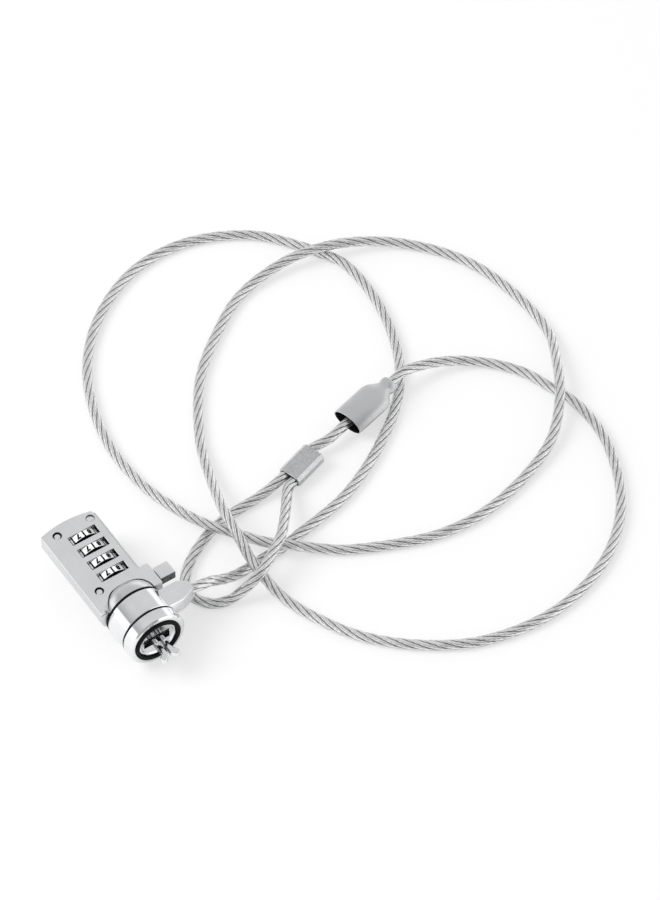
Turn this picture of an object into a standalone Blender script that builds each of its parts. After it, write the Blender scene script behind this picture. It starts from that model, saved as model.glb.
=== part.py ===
"""A laptop cable lock: a four-dial lock head that turns in a collar, and a steel cable looped through its own eye.

Metres, +Z up. The lock's barrel lies along Y with its nose at -Y and its cable lug at +X, resting on z = 0.
Inside the lock, a place is given across the barrel (x), towards the nose (s, from the rear corners) and up
from the barrel's axis (z). A turned piece is drawn along its own Z, which then points at the nose.
"""

import math

import bmesh
import bpy
from mathutils import Matrix, Vector

# Where the barrel's axis and the lock's rear corners lie.
AXIS_X = -0.00325
REAR_Y = 0.028175
AXIS_Z = 0.0099

# The housing: a round belly with a slab on the left, under a flat cover plate.
BARREL_R = 0.0099
BELLY_R = 0.0095
SLAB_LEFT = -0.0115
PLATE_RIGHT = 0.00704
PLATE_TOP = 0.0064
PLATE_THICK = 0.00095
SEAM = 0.00015
SHOULDER_S = 0.0355
DOME_S = 0.0293
DOME_R = 0.0055
DOME_TOP_R = 0.00982
REAR_BULGE = 0.00125
REAR_CURVE = 15.5
PAD_HALF = 0.0030

# The side arm: a fixed boss with the release lever outside it.
BOSS_S = (0.0267, 0.0354)
BOSS_RIGHT = 0.0107
LEVER_X = (0.0110, 0.0163)
LEVER_S = (0.0292, 0.0343)
LEVER_Z = 0.0030
STEM_S = (0.0296, 0.0318)
STEM_Z = (0.0026, 0.0046)
LEVER_TRAVEL = 0.0024

# The dials and the code sleeves inside them.
DIAL_COUNT = 4
DIAL_S = 0.0064
DIAL_PITCH = 0.0056
DIAL_R = 0.0066
DIAL_GROOVE_R = 0.0062
DIAL_SLOT_R = 0.0074
DIAL_BORE_R = 0.0042
DIAL_NOTCH_R = 0.0050
DIAL_WIDTH = 0.0019
DIAL_BACK = 0.00035
DIGITS = 10
WINDOW = (0.0098, 0.0027)
WINDOW_X = 0.00015
SLEEVE_R = 0.0039
SLEEVE_BORE_R = 0.0020
SLEEVE_LONG = 0.0038
GATE_HALF = 0.0008
GATE_R = 0.0032

# The spindle that the lever pushes towards the nose.
SPINDLE_R = 0.0016
SPINDLE_S = (0.0028, 0.0372)
FIN_R = 0.0029
FIN_THICK = 0.0010
FIN_BEFORE_DIAL = 0.0027
HUB_R = 0.0034
HUB_S = (0.0289, 0.0326)

# The barrel's front: tube, washers, collar, nose cap and hooks.
TUBE_R = (0.0062, 0.0074)
TUBE_S = (0.0326, 0.0466)
RING_BORE_R = 0.0077
WASHER_R = 0.0096
WASHER_THICK = 0.0005
COLLAR_S = (0.0363, 0.0444)
NOSE_S = (0.0452, 0.0493)
LUG_X = 0.0180
LUG_S = (0.0370, 0.0443)
LUG_Z = (0.0003, 0.0059)
CABLE_S = 0.0407
CABLE_Z = 0.0030
CARRIER_R = 0.0059
CARRIER_S = (0.0382, 0.0470)
HOOK_PIVOT = (0.0030, 0.0424)
HOOK_THICK = 0.0024
TIP_S = 0.0575

# The cable, its ferrule and the cover that slides over the ferrule.
CABLE_D = 0.0032
CABLE_LOW = 0.00165
CABLE_GAP = 0.0003
NECK_END = Vector((0.1144, 0.0246, 0.0065))
COVER_TURN = math.radians(-166.5)
COVER_DROP = math.radians(3.6)
COVER_LONG = 0.0205
FERRULE_FROM_NECK = 0.04225
FERRULE_OFFSET = 0.0003
FERRULE_TURN = math.radians(3.0)
FERRULE_SIZE = (0.0125, 0.0082, 0.0043)
FERRULE_CORNER = 0.0011
LEG_OFFSET = 0.00185

STEEL = ((0.62, 0.63, 0.65), 1.0, 0.25)
ZINC = ((0.60, 0.61, 0.63), 1.0, 0.35)
DARK_STEEL = ((0.30, 0.31, 0.33), 1.0, 0.40)
RUBBER = ((0.02, 0.02, 0.02), 0.0, 0.70)
COATED_STEEL = ((0.62, 0.63, 0.65), 0.8, 0.30)


# --- scene, materials and shared shapes -------------------------------------------------------------------

def clear_scene():
    for obj in list(bpy.data.objects):
        bpy.data.objects.remove(obj, do_unlink=True)


def new_collection(name):
    collection = bpy.data.collections.new(name)
    bpy.context.scene.collection.children.link(collection)
    return collection


def material(name, look):
    colour, metallic, roughness = look
    mat = bpy.data.materials.new(name)
    mat.use_nodes = True
    shader = mat.node_tree.nodes["Principled BSDF"]
    shader.inputs["Base Color"].default_value = (*colour, 1.0)
    shader.inputs["Metallic"].default_value = metallic
    shader.inputs["Roughness"].default_value = roughness
    return mat


def place(name, data, parent, location=(0, 0, 0), turned=False):
    """An object in the parts' collection. A turned one has its own Z pointing at the nose."""
    obj = bpy.data.objects.new(name, data)
    PARTS.objects.link(obj)
    obj.parent = parent
    obj.location = location
    if turned:
        obj.rotation_euler = (math.pi / 2, 0, 0)
    return obj


def finish(obj, look):
    obj.data.materials.clear()
    obj.data.materials.append(material(obj.name, look))
    if obj.type == "MESH":
        obj.data.shade_smooth()
        obj.data.set_sharp_from_angle(angle=math.radians(35))
    return obj


def at(x, s, z):
    """A place in the lock's frame."""
    return Vector((x, -s, z))


def box_mesh(name, low, high):
    bm = bmesh.new()
    bmesh.ops.create_cube(bm, size=1.0)
    low, high = Vector(low), Vector(high)
    bmesh.ops.scale(bm, vec=high - low, verts=bm.verts)
    bmesh.ops.translate(bm, vec=(low + high) / 2, verts=bm.verts)
    mesh = bpy.data.meshes.new(name)
    bm.to_mesh(mesh)
    bm.free()
    return mesh


def lock_box(name, x, s, z):
    return box_mesh(name, (x[0], -s[1], z[0]), (x[1], -s[0], z[1]))


def turned_shape(name, profile, parent, location=(0, 0, 0), steps=48, closed=False, turned=True):
    """A turned piece from (radius, height) points that run down its outer side, top to bottom."""
    mesh = bpy.data.meshes.new(name)
    count = len(profile)
    edges = [(i, i + 1) for i in range(count - 1)]
    if closed:
        edges.append((count - 1, 0))
    mesh.from_pydata([(r, 0, h) for r, h in profile], edges, [])
    obj = place(name, mesh, parent, location, turned)
    screw = obj.modifiers.new("Screw", "SCREW")
    screw.steps = screw.render_steps = steps
    screw.use_merge_vertices = True
    screw.merge_threshold = 0.00005
    return obj


def cylinder(name, radius, low, high, parent, location=(0, 0, 0), steps=32, turned=True):
    return turned_shape(name, [(0, high), (radius, high), (radius, low), (0, low)],
                        parent, location, steps, turned=turned)


def ring(name, inner, outer, low, high, parent, location=(0, 0, 0), steps=48):
    return turned_shape(name, [(inner, high), (outer, high), (outer, low), (inner, low)],
                        parent, location, steps, closed=True)


def outline(name, loops, thickness, parent, location=(0, 0, 0), turned=False):
    """A flat plate with straight-sided loops, the inner ones cutting holes."""
    curve = bpy.data.curves.new(name, "CURVE")
    curve.dimensions = "2D"
    curve.fill_mode = "BOTH"
    curve.extrude = thickness / 2
    for loop in loops:
        spline = curve.splines.new("POLY")
        spline.points.add(len(loop) - 1)
        for point, (x, y) in zip(spline.points, loop):
            point.co = (x, y, 0, 1)
        spline.use_cyclic_u = True
    return place(name, curve, parent, location, turned)


def as_mesh(obj):
    """The same piece as a mesh, with a curve's caps welded on."""
    graph = bpy.context.evaluated_depsgraph_get()
    mesh = bpy.data.meshes.new_from_object(obj.evaluated_get(graph))
    bm = bmesh.new()
    bm.from_mesh(mesh)
    bmesh.ops.remove_doubles(bm, verts=bm.verts, dist=0.00001)
    bm.to_mesh(mesh)
    bm.free()
    name, parent, matrix = obj.name, obj.parent, obj.matrix_local.copy()
    bpy.data.objects.remove(obj, do_unlink=True)
    made = place(name, mesh, parent)
    made.matrix_local = matrix
    return made


def as_cutter(obj):
    PARTS.objects.unlink(obj)
    CUTTERS.objects.link(obj)
    obj.hide_render = True
    obj.display_type = "WIRE"
    return obj


def join(obj, cutter, operation):
    modifier = obj.modifiers.new(operation.title(), "BOOLEAN")
    modifier.operation = operation
    modifier.object = as_cutter(cutter)


def round_edges(obj, width, segments=2, angle=40):
    bevel = obj.modifiers.new("Bevel", "BEVEL")
    bevel.width = width
    bevel.segments = segments
    bevel.limit_method = "ANGLE"
    bevel.angle_limit = math.radians(angle)


def arc(radius, start, end, count, centre=(0, 0)):
    """Points on an arc between two angles in degrees, both ends included."""
    angles = [math.radians(start + (end - start) * i / (count - 1)) for i in range(count)]
    return [(centre[0] + radius * math.cos(a), centre[1] + radius * math.sin(a)) for a in angles]


def circle(radius, count, centre=(0, 0)):
    return arc(radius, 0, 360 * (count - 1) / count, count, centre)


def rear_edge(x):
    """How far towards the nose the convex rear face lies at x."""
    return -REAR_BULGE + REAR_CURVE * (x + 0.002) ** 2


# --- the housing and what is fixed to it ------------------------------------------------------------------

def dome_profile(grow=0.0):
    """The barrel's rounded shoulder, down its outer side from the nose end."""
    deep, high = SHOULDER_S - DOME_S, DOME_TOP_R - DOME_R
    points = []
    for i in range(9):
        s = SHOULDER_S - deep * math.sin(math.pi / 2 * i / 8)
        rise = math.sqrt(max(0.0, 1 - ((SHOULDER_S - s) / deep) ** 2))
        points.append((DOME_R + high * rise + grow, s - grow))
    return [(0, SHOULDER_S + 2 * grow), (points[0][0], SHOULDER_S + 2 * grow)] + points + [(0, DOME_S - grow)]


def housing_section():
    """The belly, the slab's side and the resting pad, seen along the barrel."""
    top = PLATE_TOP - PLATE_THICK - SEAM
    pad_x = PAD_HALF + 0.0003
    meet = math.degrees(math.acos(pad_x / BELLY_R))
    right = arc(BELLY_R, 33, -meet, 13)
    left = arc(BELLY_R, meet - 180, -168, 8)
    pad = [(PAD_HALF, -AXIS_Z), (-PAD_HALF, -AXIS_Z)]
    side = [(-0.0109, 0.0), (SLAB_LEFT, 0.0012)]
    return [(SLAB_LEFT, top), (PLATE_RIGHT, top)] + right + pad + left + side


def plan_outline(right, end):
    """The rear arc, the two sides and a square front, seen from above."""
    steps = [SLAB_LEFT - 0.001 + (right + 0.001 - SLAB_LEFT) * i / 10 for i in range(11)]
    return [(x, -rear_edge(x)) for x in steps] + [(right, -end), (SLAB_LEFT - 0.001, -end)]


def corner_cut(name, parent):
    """A block whose slanted underside takes the slab's front left corner down to the barrel's shoulder."""
    rear, side, low = at(-0.0062, 0.0313, PLATE_TOP), at(-0.0115, 0.0354, PLATE_TOP), at(-0.0085, 0.0355, 0.0049)
    along = (side - rear).normalized()
    up = along.cross(low - rear).normalized()
    up = up if up.z > 0 else -up
    block = place(name, box_mesh(name, (0, -0.008, 0), (0.012, 0.008, 0.005)), parent)
    block.matrix_local = Matrix.Translation(rear) @ Matrix((along, up.cross(along), up)).transposed().to_4x4()
    return block


def build_housing(parent):
    long = SHOULDER_S + 2 * REAR_BULGE
    block = outline("housing", [housing_section()], long, parent, at(0, SHOULDER_S - long / 2, 0), turned=True)
    block = as_mesh(block)
    plan = as_mesh(outline("housing_plan", [plan_outline(0.0112, SHOULDER_S + 0.001)], 0.03, parent))
    join(block, plan, "INTERSECT")
    join(block, corner_cut("housing_corner", parent), "DIFFERENCE")
    top = PLATE_TOP - PLATE_THICK - SEAM
    boss = place("housing_boss", lock_box("housing_boss", (0.005, BOSS_RIGHT), BOSS_S, (0.0016, top)), parent)
    join(block, boss, "UNION")
    join(block, turned_shape("housing_dome", dome_profile(), parent, steps=64), "UNION")
    for i in range(DIAL_COUNT):
        s = DIAL_S + DIAL_PITCH * i
        join(block, cylinder(f"dial_slot_{i + 1}", DIAL_SLOT_R, s - 0.0015, s + 0.0015, parent), "DIFFERENCE")
    front, middle, rear = TUBE_R[1] + 0.0002, 0.0050, SLEEVE_R + 0.0003
    bore = [(0, 0.0365), (front, 0.0365), (front, 0.0324), (middle, 0.0324), (middle, 0.0268), (rear, 0.0268),
            (rear, 0.0020), (0, 0.0020)]
    bore = turned_shape("housing_bore", bore, parent)
    bore.rotation_euler.y = 0.03
    join(block, bore, "DIFFERENCE")
    slot_s = (STEM_S[0] - 0.0003, STEM_S[1] + LEVER_TRAVEL + 0.0003)
    slot = lock_box("lever_slot", (-0.0016, 0.012), slot_s, (STEM_Z[0] - 0.0003, STEM_Z[1] + 0.0003))
    join(block, place("lever_slot", slot, parent), "DIFFERENCE")
    pocket = lock_box("spring_pocket", (-0.0097, -0.0060), (0.0040, 0.0260), (0.0012, 0.0070))
    join(block, place("spring_pocket", pocket, parent), "DIFFERENCE")
    for i, (x, s, _) in enumerate(RIVETS):
        hole = cylinder(f"rivet_hole_{i + 1}", 0.0011, 0.0022, 0.0070, parent, at(x, s, 0), 16, turned=False)
        join(block, hole, "DIFFERENCE")
    screw = turned_shape("screw_hole", [(0, 0.003), (0.0019, 0.003), (0.0019, -0.0003), (0.0025, -0.0003),
                                        (0.0025, -0.003), (0, -0.003)], parent, steps=32)
    join(block, screw, "DIFFERENCE")
    return finish(block, ZINC)


RIVETS = [(-0.00695, 0.0024, "rivet_rear_left"), (0.0052, 0.0022, "rivet_rear_right"),
          (-0.0073, 0.0276, "rivet_front_left")]


def build_cover_plate(parent):
    """The flat cover with its dial windows, cut round the barrel's shoulder."""
    steps = [SLAB_LEFT + (PLATE_RIGHT - SLAB_LEFT) * i / 10 for i in range(11)]
    edge = [(x, -rear_edge(x)) for x in steps]
    edge += [(PLATE_RIGHT, -BOSS_S[0]), (BOSS_RIGHT, -BOSS_S[0]), (BOSS_RIGHT, -BOSS_S[1])]
    edge.append((SLAB_LEFT, -BOSS_S[1]))
    loops = [edge]
    half_x, half_s = WINDOW[0] / 2, WINDOW[1] / 2
    for i in range(DIAL_COUNT):
        y = -(DIAL_S + DIAL_PITCH * i)
        loops.append([(WINDOW_X + a * half_x, y + b * half_s) for a, b in ((-1, -1), (1, -1), (1, 1), (-1, 1))])
    for x, s, _ in RIVETS:
        loops.append(circle(0.0015, 20, (x, -s)))
    plate = as_mesh(outline("cover_plate", loops, PLATE_THICK, parent, (0, 0, PLATE_TOP - PLATE_THICK / 2)))
    join(plate, turned_shape("shoulder_cut", dome_profile(0.0002), parent, steps=64), "DIFFERENCE")
    join(plate, corner_cut("plate_corner", parent), "DIFFERENCE")
    return finish(plate, ZINC)


def build_rivets(parent):
    for x, s, name in RIVETS:
        head, neck = PLATE_TOP - 0.0004, PLATE_TOP - PLATE_THICK + 0.0001
        profile = [(0, head), (0.0009, head), (0.00122, head - 0.0002), (0.00122, neck), (0.0008, neck),
                   (0.0008, 0.0026), (0, 0.0026)]
        finish(turned_shape(name, profile, parent, at(x, s, 0), 24, turned=False), STEEL)


def build_barrel(parent):
    """The tube that the collar turns on, the washers beside it, and the nose."""
    tube = ring("barrel_tube", *TUBE_R, *TUBE_S, parent)
    notch = lock_box("tube_notch", (0.001, 0.009), (0.0320, 0.0346), (0.0022, 0.0050))
    join(tube, place("tube_notch", notch, parent), "DIFFERENCE")
    finish(tube, STEEL)
    for name, s in (("shoulder_washer", SHOULDER_S + SEAM), ("nose_washer", COLLAR_S[1] + SEAM)):
        finish(ring(name, RING_BORE_R, WASHER_R, s, s + WASHER_THICK, parent), RUBBER)
    low, high = NOSE_S
    cap = [(0.0081, high), (0.0094, high), (BARREL_R, 0.0488), (BARREL_R, low), (RING_BORE_R, low),
           (RING_BORE_R, 0.0470), (0.0070, 0.0470), (0.0070, 0.0482), (0.0081, 0.0482)]
    finish(turned_shape("nose_cap", cap, parent, steps=64, closed=True), ZINC)
    face = [(0.0072, 0.0499), (0.0077, 0.0499), (0.00795, 0.0497), (0.00795, 0.0484), (0.00695, 0.0484),
            (0.00695, 0.0497)]
    finish(turned_shape("face_ring", face, parent, closed=True), RUBBER)
    disc = [(0, 0.0487), (0.0057, 0.0487), (0.0060, 0.0492), (0.0066, 0.0492), (0.0067, 0.0491),
            (0.0067, 0.0473), (0, 0.0473)]
    plate = turned_shape("nose_plate", disc, parent)
    slot = lock_box("nose_slot", (-0.0046, 0.0046), (0.046, 0.051), (-0.0020, 0.0020))
    join(plate, place("nose_slot", slot, parent), "DIFFERENCE")
    finish(plate, STEEL)


def build_hook_carrier(parent):
    carrier = cylinder("hook_carrier", CARRIER_R, *CARRIER_S, parent, steps=40)
    wide = lock_box("hook_slot", (-0.0049, 0.0049), (0.0394, 0.0480), (-0.00145, 0.00145))
    join(carrier, place("hook_slot", wide, parent), "DIFFERENCE")
    narrow = lock_box("wedge_slot", (-0.0019, 0.0019), (0.0375, 0.0400), (-0.00175, 0.00175))
    join(carrier, place("wedge_slot", narrow, parent), "DIFFERENCE")
    x, s = HOOK_PIVOT
    for side, sign in (("left", -1), ("right", 1)):
        hole = cylinder(f"pin_hole_{side}", 0.0009, -0.007, 0.007, parent, at(sign * x, s, 0), 20, turned=False)
        join(carrier, hole, "DIFFERENCE")
        pin = cylinder(f"hook_pin_{side}", 0.0007, -0.0045, 0.0045, parent, at(sign * x, s, 0), 20, turned=False)
        finish(pin, STEEL)
    finish(carrier, DARK_STEEL)


def strip(name, path, thick, low, high, parent):
    """A bent strip that stands on its edge, from points (x, s) along it."""
    mesh = bpy.data.meshes.new(name)
    count = len(path)
    points = [(x, -s, z) for z in (low, high) for x, s in path]
    faces = [(i, i + 1, count + i + 1, count + i) for i in range(count - 1)]
    mesh.from_pydata(points, [], faces)
    obj = place(name, mesh, parent)
    wall = obj.modifiers.new("Solidify", "SOLIDIFY")
    wall.thickness = thick
    wall.offset = 0
    return finish(obj, DARK_STEEL)


def build_springs(parent):
    """The leaf that clicks the dials, the hairpin that spreads the hooks and the coil that returns the lever."""
    path = [(-0.0083, 0.0043)]
    for i in range(DIAL_COUNT):
        s = DIAL_S + DIAL_PITCH * i - DIAL_BACK
        path += [(-0.0083, s - 0.0016), (-0.0070, s - 0.0004), (-0.0070, s + 0.0004), (-0.0083, s + 0.0016)]
    path.append((-0.0083, 0.0256))
    strip("detent_spring", path, 0.0003, 0.0016, 0.0046, parent)
    bend = [(x, 0.0435 - y) for x, y in arc(0.0004, 0, 180, 7)]
    strip("hook_spring", [(0.0004, 0.0456)] + bend + [(-0.0004, 0.0456)], 0.0002, -0.0010, 0.0010, parent)
    turns, start, end, radius = 4, HUB_S[1] + 0.0006, CARRIER_S[0] - 0.0006, 0.0025
    count = turns * 12
    points = []
    for i in range(count + 1):
        angle = math.tau * turns * i / count
        points.append(at(radius * math.cos(angle), start + (end - start) * i / count, radius * math.sin(angle)))
    coil = tube_curve("return_spring", points, 0.0003, 1, parent)
    finish(coil, STEEL)
    print(f"return spring: least gap between turns {((end - start) / turns - 0.0006) * 1000:.2f} mm")


def build_code_screw(parent):
    """The slotted screw in the rear face that frees the dials for a new code."""
    profile = [(0, 0.0023), (0.0014, 0.0023), (0.0016, 0.0021), (0.0016, -0.0006), (0.0021, -0.0006),
               (0.0022, -0.0008), (0.0022, -0.0011), (0.0020, -0.0012), (0, -0.0012)]
    screw = turned_shape("code_set_screw", profile, parent, steps=32)
    slot = lock_box("screw_slot", (-0.0003, 0.0003), (-0.003, -0.0007), (-0.003, 0.003))
    join(screw, place("screw_slot", slot, parent), "DIFFERENCE")
    finish(screw, STEEL)


# --- the moving works -------------------------------------------------------------------------------------

def dial_outline():
    """Ten pads that each carry a digit, with a groove between each two, and ten notches round the bore."""
    outer, inner = [], []
    for i in range(DIGITS):
        middle = 90 + 360 * i / DIGITS
        for turn, radius in ((-3.9, DIAL_R), (-2.7, DIAL_GROOVE_R), (2.7, DIAL_GROOVE_R), (3.9, DIAL_R),
                             (11, DIAL_R), (18, DIAL_R), (25, DIAL_R)):
            outer += arc(radius, middle + turn, middle + turn + 1, 2)[:1]
        for turn, radius in ((-8.5, DIAL_BORE_R), (-8.0, DIAL_NOTCH_R), (8.0, DIAL_NOTCH_R), (8.5, DIAL_BORE_R)):
            inner += arc(radius, middle + turn, middle + turn + 1, 2)[:1]
    return [outer, inner]


def sleeve_outline():
    """A sleeve whose bore opens into the gate that lets a fin through, and into a second gate opposite it."""
    side = math.degrees(math.acos(GATE_HALF / SLEEVE_BORE_R))
    right, left = arc(SLEEVE_BORE_R, -side, side, 11), arc(SLEEVE_BORE_R, 180 - side, 180 + side, 11)
    gate = [(GATE_HALF, GATE_R), (-GATE_HALF, GATE_R)]
    return [circle(SLEEVE_R, 32), [(GATE_HALF, -GATE_R)] + right + gate + left + [(-GATE_HALF, -GATE_R)]]


def build_dials(parent):
    for i in range(DIAL_COUNT):
        s = DIAL_S + DIAL_PITCH * i
        dial = outline(f"dial_{i + 1}", dial_outline(), DIAL_WIDTH, parent, at(0, s - DIAL_BACK, 0), turned=True)
        finish(as_mesh(dial), ZINC)
        sleeve = as_mesh(outline(f"code_sleeve_{i + 1}", sleeve_outline(), SLEEVE_LONG, parent, at(0, s, 0),
                                 turned=True))
        low = s - DIAL_BACK - 0.0008
        tooth = lock_box(f"sleeve_tooth_{i + 1}", (-0.0004, 0.0004), (low, low + 0.0016), (0.0035, 0.0047))
        join(sleeve, place(f"sleeve_tooth_{i + 1}", tooth, parent), "UNION")
        finish(sleeve, STEEL)


def build_lever(parent):
    """The block outside the boss, with the stem that reaches in over the spindle."""
    block = place("release_lever", lock_box("release_lever", LEVER_X, LEVER_S, (LEVER_Z, PLATE_TOP)), parent)
    round_edges(block, 0.0003)
    stem = lock_box("lever_stem", (-0.0011, LEVER_X[0] + 0.0005), STEM_S, STEM_Z)
    join(block, place("lever_stem", stem, parent), "UNION")
    leg = lock_box("lever_leg", (-0.0011, 0.0011), STEM_S, (0.0011, STEM_Z[1]))
    join(block, place("lever_leg", leg, parent), "UNION")
    finish(block, ZINC)


def build_spindle(parent):
    low, high = SPINDLE_S
    spindle = cylinder("spindle", SPINDLE_R, low, high, parent)
    wedge = [(-0.0014, -0.0365), (0.0014, -0.0365), (0.00115, -0.0398), (-0.00115, -0.0398)]
    join(spindle, as_mesh(outline("spindle_wedge", [wedge], 0.0022, parent)), "UNION")
    join(spindle, cylinder("spindle_hub", HUB_R, *HUB_S, parent), "UNION")
    notch = lock_box("hub_slot", (-0.0014, 0.0040), (STEM_S[0] - 0.0003, STEM_S[1] + 0.0003), (0.0008, 0.005))
    join(spindle, place("hub_slot", notch, parent), "DIFFERENCE")
    for i in range(DIAL_COUNT):
        s = DIAL_S + DIAL_PITCH * i - FIN_BEFORE_DIAL
        fin = lock_box(f"fin_{i + 1}", (-0.0005, 0.0005), (s - FIN_THICK / 2, s + FIN_THICK / 2),
                       (-FIN_R, -0.0010))
        join(spindle, place(f"fin_{i + 1}", fin, parent), "UNION")
    finish(spindle, STEEL)


def hook_outline():
    """The right hook from above, about its pivot: tail, boss, straight prong and outward tip."""
    px, ps = HOOK_PIVOT
    tail = [(0.00150, 0.0396), (0.00290, 0.0396)]
    boss = [(px + x, ps - y) for x, y in arc(0.0015, 50, -50, 6)]
    prong = [(0.00250, 0.0460), (0.00205, 0.0475), (0.00205, 0.0543)]
    tip = [(0.00235, 0.0549), (0.00310, 0.0556), (0.00345, 0.0564), (0.00325, 0.0571), (0.00260, TIP_S),
           (0.00180, 0.0574), (0.00095, 0.0567), (0.00045, 0.0557)]
    inner = [(0.00045, 0.0478), (0.00095, 0.0468), (0.00095, 0.0448), (0.00150, 0.0436)]
    points = tail + boss + prong + tip + inner
    return [(x - px, ps - s) for x, s in points]


def build_hooks(parent):
    px, ps = HOOK_PIVOT
    for side, sign in (("left", -1), ("right", 1)):
        loops = [hook_outline(), circle(0.00095, 20)]
        loops = [[(sign * x, y) for x, y in loop] for loop in loops]
        hook = as_mesh(outline(f"hook_{side}", loops, HOOK_THICK, parent, at(sign * px, ps, 0)))
        finish(hook, STEEL)


# --- the collar and the cable -----------------------------------------------------------------------------

def build_collar(parent):
    """The turning collar, its lug, and how the cable's end is held in it."""
    low, high = COLLAR_S
    profile = [(RING_BORE_R, high), (BARREL_R - 0.0002, high), (BARREL_R, high - 0.0002),
               (BARREL_R, low + 0.0002), (BARREL_R - 0.0002, low), (RING_BORE_R, low)]
    collar = turned_shape("cable_collar", profile, parent, steps=64, closed=True)
    plan = [(0.0060, -LUG_S[0]), (0.0148, -LUG_S[0]), (0.0173, -0.0388), (LUG_X, -0.0398),
            (LUG_X, -0.0422), (0.0126, -LUG_S[1]), (0.0060, -LUG_S[1])]
    lug = as_mesh(outline("lug", [plan], LUG_Z[1] - LUG_Z[0], parent, (0, 0, sum(LUG_Z) / 2)))
    round_edges(lug, 0.0003, 1)
    join(collar, lug, "UNION")
    bore = cylinder("collar_bore", RING_BORE_R, 0.035, 0.046, parent, steps=48)
    join(collar, bore, "DIFFERENCE")
    across = (0, math.pi / 2, 0)
    hole = turned_shape("cable_hole", [(0, 0.020), (0.0019, 0.020), (0.0019, 0.0153), (0.0024, 0.0153),
                                       (0.0024, 0.0104), (0, 0.0104)], parent, at(0, CABLE_S, CABLE_Z), 24,
                        turned=False)
    hole.rotation_euler = across
    join(collar, hole, "DIFFERENCE")
    pin_hole = cylinder("anchor_hole", 0.0011, -0.002, 0.0050, parent, at(0.0129, CABLE_S, 0), 20, turned=False)
    join(collar, pin_hole, "DIFFERENCE")
    finish(collar, ZINC)

    plug = cylinder("cable_end_plug", 0.0021, 0.0107, 0.0150, parent, at(0, CABLE_S, CABLE_Z), 24, turned=False)
    plug.rotation_euler = across
    through = cylinder("plug_hole", 0.0011, -0.002, 0.008, parent, at(0.0129, CABLE_S, 0), 20, turned=False)
    join(plug, through, "DIFFERENCE")
    finish(plug, STEEL)
    pin = cylinder("cable_anchor_pin", 0.0008, 0.0005, 0.0047, parent, at(0.0129, CABLE_S, 0), 20, turned=False)
    finish(pin, STEEL)


def tube_curve(name, points, radius, resolution, parent):
    curve = bpy.data.curves.new(name, "CURVE")
    curve.dimensions = "3D"
    curve.bevel_depth = radius
    curve.bevel_resolution = resolution
    curve.use_fill_caps = True
    spline = curve.splines.new("POLY")
    spline.points.add(len(points) - 1)
    for point, co in zip(spline.points, points):
        point.co = (*co, 1)
    return place(name, curve, parent)


def cover_axis():
    """The way that the ferrule cover slides, towards the ferrule."""
    flat = math.cos(COVER_DROP)
    return Vector((math.cos(COVER_TURN) * flat, math.sin(COVER_TURN) * flat, -math.sin(COVER_DROP)))


def ferrule_axis():
    return Matrix.Rotation(FERRULE_TURN, 3, "Z") @ cover_axis()


def level_side(axis):
    """The level way across an axis, from the standing leg's side to the returning one's."""
    return Vector((-axis.y, axis.x, 0)).normalized()


def ferrule_middle():
    return NECK_END + cover_axis() * FERRULE_FROM_NECK + level_side(cover_axis()) * FERRULE_OFFSET


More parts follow.
